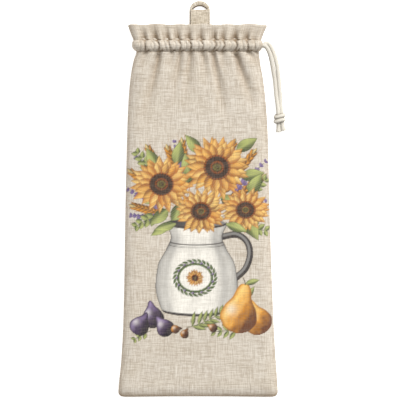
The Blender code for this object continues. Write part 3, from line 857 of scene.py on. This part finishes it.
inks = dict(
    goldLight=display(255, 218, 132), gold=display(230, 156, 52), amber=display(182, 98, 32),
    wheatLight=display(246, 218, 148), brown=display(104, 56, 26), umber=display(54, 32, 22),
    cream=display(246, 242, 232), grey=display(176, 174, 172), charcoal=display(50, 46, 48),
    leafLight=display(196, 204, 122), leaf=display(106, 130, 66), leafDark=display(38, 60, 34),
    lilac=display(160, 140, 184), violet=display(92, 72, 128), fig=display(70, 50, 88),
    figDark=display(20, 15, 27),
)


def newCanvas(grid):
    # the cloth's points with nothing on them yet; bare ink starts as linen, so that brush edges blend into
    # it
    x, y, _ = grid.reshape(-1, 3).T
    return dict(x=x, y=y, ink=np.tile(printLook["bare"], (len(x), 1)), cover=np.zeros(len(x)))


def around(canvas, x, y, reach, turn=0.0):
    # the points within reach of a place, and their distances along and across a direction in degrees
    dx, dy = canvas["x"] - x, canvas["y"] - y
    near = np.flatnonzero((np.abs(dx) < reach) & (np.abs(dy) < reach))
    c, s = math.cos(math.radians(turn)), math.sin(math.radians(turn))
    return near, dx[near] * c + dy[near] * s, dy[near] * c - dx[near] * s


def brush(canvas, near, inside, colour, strength=1.0):
    # inside counts millimetres in from the shape's edge; the new ink covers what lies under it by that much
    laid = np.clip(0.5 + inside / printLook["soft"], 0, 1) * strength
    ink = canvas["ink"][near]
    canvas["ink"][near] = ink + (colour - ink) * laid[:, None]
    canvas["cover"][near] = 1 - (1 - canvas["cover"][near]) * (1 - laid)


def blend(dark, light, shade):
    # shade 0 gives the dark ink and shade 1 the light one
    return dark + (light - dark) * np.clip(shade, 0, 1)[:, None]


def onward(x, y, turn, length):
    # the place at a distance from another, in a direction in degrees
    return x + length * math.cos(math.radians(turn)), y + length * math.sin(math.radians(turn))


def paintStroke(canvas, points, width, colour):
    # a line of even width: distance to each straight piece of it
    for (x0, y0), (x1, y1) in zip(points, points[1:]):
        length = math.hypot(x1 - x0, y1 - y0)
        turn = math.degrees(math.atan2(y1 - y0, x1 - x0))
        near, along, across = around(canvas, x0, y0, length + width, turn)
        past = np.maximum(np.maximum(-along, along - length), 0)
        brush(canvas, near, width / 2 - np.hypot(across, past), colour)


def paintLeaf(canvas, x, y, turn, length, width, dark, light, rib=0.5):
    # a pointed oval, fuller near its foot: its half-width is a sine along it, one half is darker, the rim
    # is dark and the rib pale
    near, along, across = around(canvas, x, y, length + 2, turn)
    t = np.clip(along / length, 0, 1)
    half = width / 2 * np.sin(math.pi * t ** 0.8)
    inside = np.where((along > 0) & (along < length), half - np.abs(across), -9)
    shade = 0.50 + 0.36 * np.tanh(across / (0.22 * width))
    shade = shade + 0.22 * np.sin(along * 1.3 + 2.1 * across) * (1 - t)
    shade = shade * (0.25 + 0.75 * easeIn(inside / 1.5)) * (0.45 + 0.75 * easeIn(t / 0.7))
    shade = shade + rib * bump(across / (0.10 * width + 0.2)) * (1 - t)
    brush(canvas, near, inside, blend(dark, light, shade))


def paintFlower(canvas, x, y, radius, squash, seed):
    # three rings of petals round a seed disc; the disc is darkest in a ring and its seeds lie on crossing
    # spirals
    rng = np.random.default_rng(seed)
    foot = 0.30 * radius
    for count, reach, offset in ((19, 1.0, 0.0), (17, 0.90, 0.5), (15, 0.78, 0.2)):
        for k in range(count):
            angle = 2 * math.pi * (k + offset) / count + rng.uniform(-0.05, 0.05)
            c, s = math.cos(angle), math.sin(angle) * squash
            length = (reach - 0.30) * radius * rng.uniform(0.92, 1.10) * math.hypot(c, s)
            turn = math.degrees(math.atan2(s, c)) + rng.uniform(-7, 7)
            dark = blend(inks["brown"], inks["amber"], rng.uniform(0.1, 0.9, 1))[0]
            light = blend(inks["gold"], inks["goldLight"], rng.uniform(0.3, 1.0, 1))[0]
            paintLeaf(canvas, x + foot * c, y + foot * s, turn, length, 0.26 * radius, dark, light, 0.35)
    near, u, v = around(canvas, x, y, radius)
    v = v / squash
    r, angle = np.hypot(u, v), np.arctan2(v, u)
    seeds = np.sin(13 * angle + 0.75 * r) * np.sin(13 * angle - 0.75 * r)
    shade = 0.42 + 0.5 * seeds - 0.9 * bump((r - 0.27 * radius) / (0.07 * radius)) + 0.2 * (u + v) / radius
    brush(canvas, near, 0.40 * radius - r, blend(inks["umber"], inks["amber"], shade))
    brush(canvas, near, 0.13 * radius - r, blend(inks["umber"], inks["leaf"], 0.35 + 0.4 * seeds), 0.8)


def paintEar(canvas, x, y, turn, length):
    # a stem that ends in two rows of grains, each turned outwards and ending in a fine awn
    grains = 9
    paintStroke(canvas, [(x, y), onward(x, y, turn, 0.6 * length)], 1.1, inks["amber"])
    for k in range(grains):
        grain = onward(x, y, turn, length * (0.42 + 0.50 * k / grains))
        for side in (-1, 1):
            aside = turn + side * (36 - 1.8 * k)
            tip = onward(*onward(*grain, aside, 15), turn, 5)
            paintStroke(canvas, [onward(*grain, aside, 5), tip], 0.5, inks["amber"])
            paintLeaf(canvas, *grain, aside, 12.0, 6.2, inks["umber"], inks["gold"] * 1.05)
    last = onward(x, y, turn, 0.90 * length)
    paintLeaf(canvas, *last, turn, 11.0, 5.6, inks["umber"], inks["wheatLight"])


def paintLavender(canvas, x, y, turn, length, seed):
    # a thin stem with whorls of small petals that shrink towards the tip
    rng = np.random.default_rng(seed)
    whorls = 8
    paintStroke(canvas, [(x, y), onward(x, y, turn, 0.9 * length)], 1.0, inks["leafDark"])
    for k in range(whorls):
        place = onward(x, y, turn, length * (0.46 + 0.52 * k / whorls))
        for side in (-38, 38, -14, 14):
            size = (9.4 - 0.55 * k) * rng.uniform(0.85, 1.15)
            paintLeaf(canvas, *place, turn + side + rng.uniform(-8, 8), size, size * 0.55,
                      inks["violet"] * rng.uniform(0.6, 1.1), inks["lilac"], 0.2)


def paintSprig(canvas, x, y, turn, length, seed, width=6.5):
    # a curved stem with pairs of leaves that shorten towards its end
    rng = np.random.default_rng(seed)
    pairs = max(3, int(length / 8))
    stem = [(x, y)]
    for k in range(pairs):
        turn += rng.uniform(1, 6)
        stem.append(onward(*stem[-1], turn, length / pairs))
    paintStroke(canvas, stem, 1.1, inks["leafDark"])
    for k, place in enumerate(stem[1:]):
        size = (1 - 0.45 * k / pairs) * length * 0.42
        for side in (-46, 42):
            aside = turn + side + rng.uniform(-10, 10)
            dark = inks["leafDark"] * rng.uniform(0.8, 1.3)
            light = inks["leafLight"] * rng.uniform(0.8, 1.0)
            paintLeaf(canvas, *place, aside, size, width * (1 - 0.3 * k / pairs), dark, light, 0.45)


def paintFruit(canvas, x, y, size, turn, shape, dark, middle, light, seed):
    # a fruit lying along a direction: its half-width follows a profile, lit from the upper left, with
    # freckles
    near, along, across = around(canvas, x, y, 2.4 * size, turn)
    t = along / size
    profile = through(shape[0], shape[1], t) * size
    inside = np.where((t > shape[0][0]) & (t < shape[0][-1]), profile - np.abs(across), -9)
    dx, dy = canvas["x"][near] - x, canvas["y"][near] - y
    lit = 0.52 + (0.48 * dy - 0.60 * dx) / size + 0.20 * waves(dx, dy, seed, 16.0)
    rim = easeIn(inside / (0.30 * size))
    colour = blend(dark, middle, lit * 1.5 * (0.35 + 0.65 * rim))
    colour = colour + (light - colour) * (np.clip(lit * 1.5 - 0.75, 0, 1) * rim)[:, None]
    freckles = np.clip(waves(dx, dy, seed + 50, 4.0, 2) * 2 - 0.9, 0, 1)
    shine = 0.55 * bump(np.hypot(dx + 0.42 * size, dy - 0.28 * size) / (0.30 * size))
    colour = colour + (inks["cream"] - colour) * (shine * rim)[:, None]
    brush(canvas, near, inside, colour * (1 - 0.35 * freckles[:, None]))


# half-widths of a fruit of size 1, at places from its foot to its stalk
pearShape = ([-1.0, -0.96, -0.7, -0.2, 0.35, 0.85, 1.35, 1.60, 1.66],
             [0.0, 0.30, 0.74, 0.98, 0.84, 0.52, 0.37, 0.22, 0.0])
figShape = ([-1.0, -0.97, -0.7, -0.2, 0.35, 0.8, 1.15, 1.3], [0.0, 0.26, 0.72, 0.92, 0.70, 0.34, 0.18, 0.0])


def paintPear(canvas, x, y, size, turn, seed):
    # a fruit with a short stalk that bends to the left, and one leaf at its top
    skin = (inks["brown"], inks["gold"], inks["goldLight"])
    paintFruit(canvas, x, y, size * 0.62, turn, pearShape, *skin, seed)
    topX, topY = onward(x, y, turn, size)
    stalk = [(topX, topY), onward(topX - 2, topY, turn, 5), onward(topX - 5, topY, turn, 9)]
    paintStroke(canvas, stalk, 1.7, inks["umber"])
    paintLeaf(canvas, topX, topY + 1, turn - 62, 21, 8.5, inks["leafDark"], inks["leafLight"])


def paintJug(canvas, look):
    # a round jug: greys follow the curve across it, with a soft window of light; its rims are arcs of an
    # ellipse
    x, y = look["jugX"], (look["jugBase"] + look["jugRim"]) / 2
    handle = smoothRoute([(x + dx, y, 0) for dx, y in look["jugHandle"]], 2.5)[:, :2]
    paintStroke(canvas, handle, 9.0, inks["charcoal"])
    paintStroke(canvas, handle + (-1.0, 1.2), 3.2, inks["grey"] * 0.55)
    near, u, v = around(canvas, x, y, 90.0)
    height = v + y
    half = through(look["jugPlaces"], look["jugHalves"], height)
    s = u / half
    arc = np.sqrt(np.maximum(1 - s * s, 0))
    bottom, top = look["jugBase"] + 5 - 7 * arc, look["jugRim"] - 7 * arc + 3
    inside = np.minimum(half - np.abs(u), np.minimum(height - bottom, top - height))
    shade = 0.97 - 0.80 * np.abs(s) ** 5 - 0.40 * bump((s - 0.68) / 0.13) - 0.26 * bump((s + 0.74) / 0.10)
    shade = shade + 0.10 * bump((s + 0.36) / 0.14) + 0.05 * waves(u, v, 60, 40.0)
    shade = shade - 0.20 * bump((height + 62) / 10.0) * (0.3 + np.abs(s))
    mouth = 7 * arc + 1 - np.abs(height - look["jugRim"] - 1)
    mouth = np.where((np.abs(s) < 1) & (height < look["jugRim"] + 8), mouth, -9)
    brush(canvas, near, mouth, blend(inks["charcoal"], inks["grey"], 0.25 + 0.3 * s))
    brush(canvas, near, inside, blend(inks["grey"] * 0.55, inks["cream"], shade))
    brush(canvas, near, 1.5 - np.abs(height - top) - 9 * (np.abs(s) > 1), inks["charcoal"])
    brush(canvas, near, 1.9 - np.abs(height - bottom - 1) - 9 * (np.abs(s) > 0.99), inks["charcoal"])
    brush(canvas, near, np.where(inside > -0.5, 0.8 - inside, -9), inks["charcoal"], 0.75)
    for level, width in ((-63.0, 0.7), (-66.5, 0.35)):
        line = width - np.abs(height - level + 5 * arc - 5)
        brush(canvas, near, np.where(inside > 0, line, -9), inks["charcoal"])


def paintWreath(canvas, x, y, wide, high, seed):
    # two rings of short leaves round an oval, one leaning out and one leaning in, with berries between them
    rng = np.random.default_rng(seed)
    for ring, lean in ((0.97, 24), (1.04, -22)):
        for k in range(26):
            angle = 2 * math.pi * k / 26
            turn = math.degrees(math.atan2(high * math.cos(angle), -wide * math.sin(angle)))
            place = (x + wide * ring * math.cos(angle), y + high * ring * math.sin(angle))
            paintLeaf(canvas, *place, turn + lean, 9.0, 3.6, inks["leafDark"] * rng.uniform(0.7, 1.2),
                      inks["leaf"] * rng.uniform(0.9, 1.3), 0.2)
    for k in range(13):
        angle = 2 * math.pi * (k + 0.5) / 13
        near, u, v = around(canvas, x + wide * math.cos(angle), y + high * math.sin(angle), 4)
        brush(canvas, near, 1.7 - np.hypot(u, v), blend(inks["figDark"], inks["lilac"], 0.5 + (v - u) / 4))


def paintPrint(grid):
    # back to front: ears and lavender, leaves, flowers, the jug, the flower over its rim, then what is at
    # its foot
    canvas = newCanvas(grid)
    look = printLook
    for ear in look["ears"]:
        paintEar(canvas, *ear)
    for k, sprig in enumerate(look["lavender"]):
        paintLavender(canvas, *sprig, 20 + k)
    for sprig in look["backSprigs"]:
        paintSprig(canvas, *sprig, sprig[0] + 100, 9.0)
    for k, leaf in enumerate(look["backLeaves"]):
        dark = inks["leafDark"] * (0.7 + 0.1 * (k % 4))
        paintLeaf(canvas, *leaf, 34.0, 17.0, dark, inks["leafLight"] * 0.9)
    for flower in look["flowers"][:-1]:
        paintFlower(canvas, *flower)
    paintJug(canvas, look)
    paintFlower(canvas, *look["flowers"][-1])
    for leaf in look["rimLeaves"]:
        paintLeaf(canvas, *leaf, 32.0, 13.0, inks["leafDark"], inks["leafLight"])
    paintWreath(canvas, look["wreathX"], look["wreathY"], 25.0, 21.0, 30)
    paintFlower(canvas, look["wreathX"], look["wreathY"], 12.5, 0.95, 31)
    for k, sprig in enumerate(look["sprigs"]):
        paintSprig(canvas, *sprig, 40 + k)
    for x, y, size, turn, seed in look["figs"]:
        paintFruit(canvas, x, y, size, turn, figShape, inks["figDark"], inks["fig"], inks["lilac"], seed)
    for x, y, size, turn, seed in look["pears"][::-1]:
        paintPear(canvas, x, y, size * 1.35, turn, seed)
    for x, y, size, turn, seed in look["nuts"]:
        paintFruit(canvas, x, y, size, turn, figShape, inks["umber"], inks["brown"], inks["gold"], seed)
    print("print covers", round(float((canvas["cover"] > 0.5).mean()), 3), "of the front's points")
    wash = 1 + 0.05 * waves(canvas["x"], canvas["y"], 70, 26.0)
    return np.column_stack([canvas["ink"] * wash[:, None], canvas["cover"]])


def makeFront():
    # the front's surface and its turned-in hem as one cloth, printed and shaded on its outer skin
    across = evenAcross(181)
    rowsY = spacedRows((-272.0, -254.0, 1.0), (-254.0, -196.0, 2.4), (-196.0, 92.0, 1.15), (92.0, 192.0, 1.5),
                       (192.0, 222.0, 0.55), (222.0, 237.0, 1.1))
    outer = frontSurface(across, rowsY)
    grid = np.concatenate([outer, hemGrid(outer[rowsY > 219.0], across, True)])
    fineFrom = int(np.searchsorted(rowsY, 110.0)) // 5 * 5
    zones = [(0, 5, 6), (fineFrom, 1, 2)]
    points, faces, uvs, _ = clothShape(grid, bagLook["cloth"], flatCoordinates(grid), zones)
    skin = grid[..., 0].size
    colours = np.zeros((len(points), 4))
    colours[:skin] = paintPrint(grid)
    # painted shade on the outer skin, from the folds, stitches, seams and edges
    creases = np.zeros(len(points))
    creases[:skin] = foldShade(grid).ravel()
    made = meshObject("frontPanel", points, faces, uvs, colours, creases)
    print("front rows", grid.shape, "triangles", sum(len(p.vertices) - 2 for p in made.data.polygons))
    finish(made, printedLinen, "linen", "front_panel")
    return made


front = makeFront()


def makeBack():
    # the back's surface and its hem as one plain cloth, with its columns turned round so that it faces down
    across = evenAcross(109)
    rowsY = spacedRows((-272.0, -254.0, 1.5), (-254.0, 120.0, 6.0), (120.0, 194.0, 2.5), (194.0, 222.0, 1.0),
                       (222.0, 237.0, 2.0))
    outer = backSurface(across, rowsY)
    grid = np.concatenate([outer, hemGrid(outer[rowsY > 219.0], across, False)])[:, ::-1]
    made = joined("backPanel", clothShape(grid, bagLook["cloth"], flatCoordinates(grid), [(0, 1, 1)]))
    finish(made, linen, "linen", "back_panel")
    return made


back = makeBack()
print("panels made")


loopLook = dict(
    middleX=2.3, sideX=13.4, footY=219.5, shoulderY=255.6, topY=269.0,
    sideHalf=0.65, archHalf=3.2, edgeHalf=1.55,      # half-widths of the tape's edge, and half its thickness
    faceLeft=-9.9, faceRight=14.8, faceTop=261.2, faceSag=1.7, faceThickness=1.3, faceLift=1.1,
    backLeft=-11.2, backRight=15.6, backTop=259.7, backThickness=1.0, backLift=-0.5,
    liningHalf=0.9, liningX=11.6, liningY=259.0,     # the lining runs inside this x and over this y
    headingY=238.0, onHeading=4.8, pastHeading=4.3, onSurface=2.2,
)


def loopHeight(y):
    # the tape lies on the heading's hem, then comes down to the surface beyond the top edge
    look = loopLook
    heights = [look["onHeading"]] * 2 + [look["pastHeading"]] + [look["onSurface"]] * 2
    return through([219.0, look["headingY"], 244.0, 262.0, 272.0], heights, y)


def tapeLeg(left, right, top, lift, thickness, shade):
    # one flat length of the tape: it follows the loop's height, its top edge sags, and a seam runs along
    # each side. Its painted shade at each point comes from the shade given
    look = loopLook
    u, v = np.meshgrid(np.linspace(0, 1, 41), np.linspace(0, 1, 60))
    x = left + (right - left) * u
    sagging = look["faceSag"] * np.sin(math.pi * u) + 0.3 * np.sin(9.0 * u + 0.6)
    y = look["footY"] + (top - sagging - look["footY"]) * v
    roll = 0.9 * easeIn((v - 0.93) / 0.07) + 0.28 * (bump((u - 0.07) / 0.03) + bump((u - 0.93) / 0.03))
    z = loopHeight(y) + lift - roll + 0.16 * waves(x, y, 15, 14.0)
    flat = np.stack([x, y], axis=2) * mm
    points, faces, uvs, _ = clothShape(np.stack([x, y, z], axis=2), thickness, flat, [(0, 1, 1)])
    return points, faces, uvs, shade(points[:, 0], points[:, 1])


def makeLoop():
    # the tape's edge runs up one side, over the arch and down the other. Its two legs lie flat, the back
    # one wider than the front one shows, and the lining of the arch is the turned-in edge that no light
    # reaches, painted near black as shade; both legs carry painted shade too
    look = loopLook
    straight = np.linspace(look["footY"], look["shoulderY"], 40)[:-1]
    turn = np.linspace(math.pi, 0, 70)
    rise = look["topY"] - look["shoulderY"]
    x = look["sideX"] * np.concatenate([np.full(39, -1), np.cos(turn), np.full(39, 1)])
    y = np.concatenate([straight, look["shoulderY"] + rise * np.sin(turn), straight[::-1]])
    band = np.stack([look["middleX"] + x, y, loopHeight(y) - 0.3], axis=1)
    overTop = easeIn((y - look["shoulderY"]) / rise)
    radii = look["sideHalf"] + (look["archHalf"] - look["sideHalf"]) * overTop
    edge = tubeShape(band, radii, 18, flatness=np.minimum(look["edgeHalf"] / radii, 1.0))

    arch = (y > look["liningY"]) & (np.abs(x) < look["liningX"])
    inner = band[arch] - np.stack([x / 13.1 * 1.2, radii + 0.1, np.full(len(x), 0.1)], axis=1)[arch]
    # painted shade: the lining's shade amount of 1.9 makes it nearly black
    lining = tubeShape(inner, np.full(len(inner), look["liningHalf"]), 12)[:3] + (1.9,)

    # painted shade on the legs: a little on the front one and more at its top edge, the back one dark on its
    # left and dimmer on its right
    front = tapeLeg(look["faceLeft"], look["faceRight"], look["faceTop"], look["faceLift"],
                    look["faceThickness"], lambda x, y: 0.10 + 0.15 * bump((y - look["faceTop"]) / 2.0))
    behind = tapeLeg(look["backLeft"], look["backRight"], look["backTop"], look["backLift"],
                     look["backThickness"], lambda x, y: np.where(x < 0, 1.8, 0.6))
    finish(joined("hangingLoop", edge, lining, behind, front), tapeLinen, "tape", "hanging_loop")


makeLoop()
print("loop made")
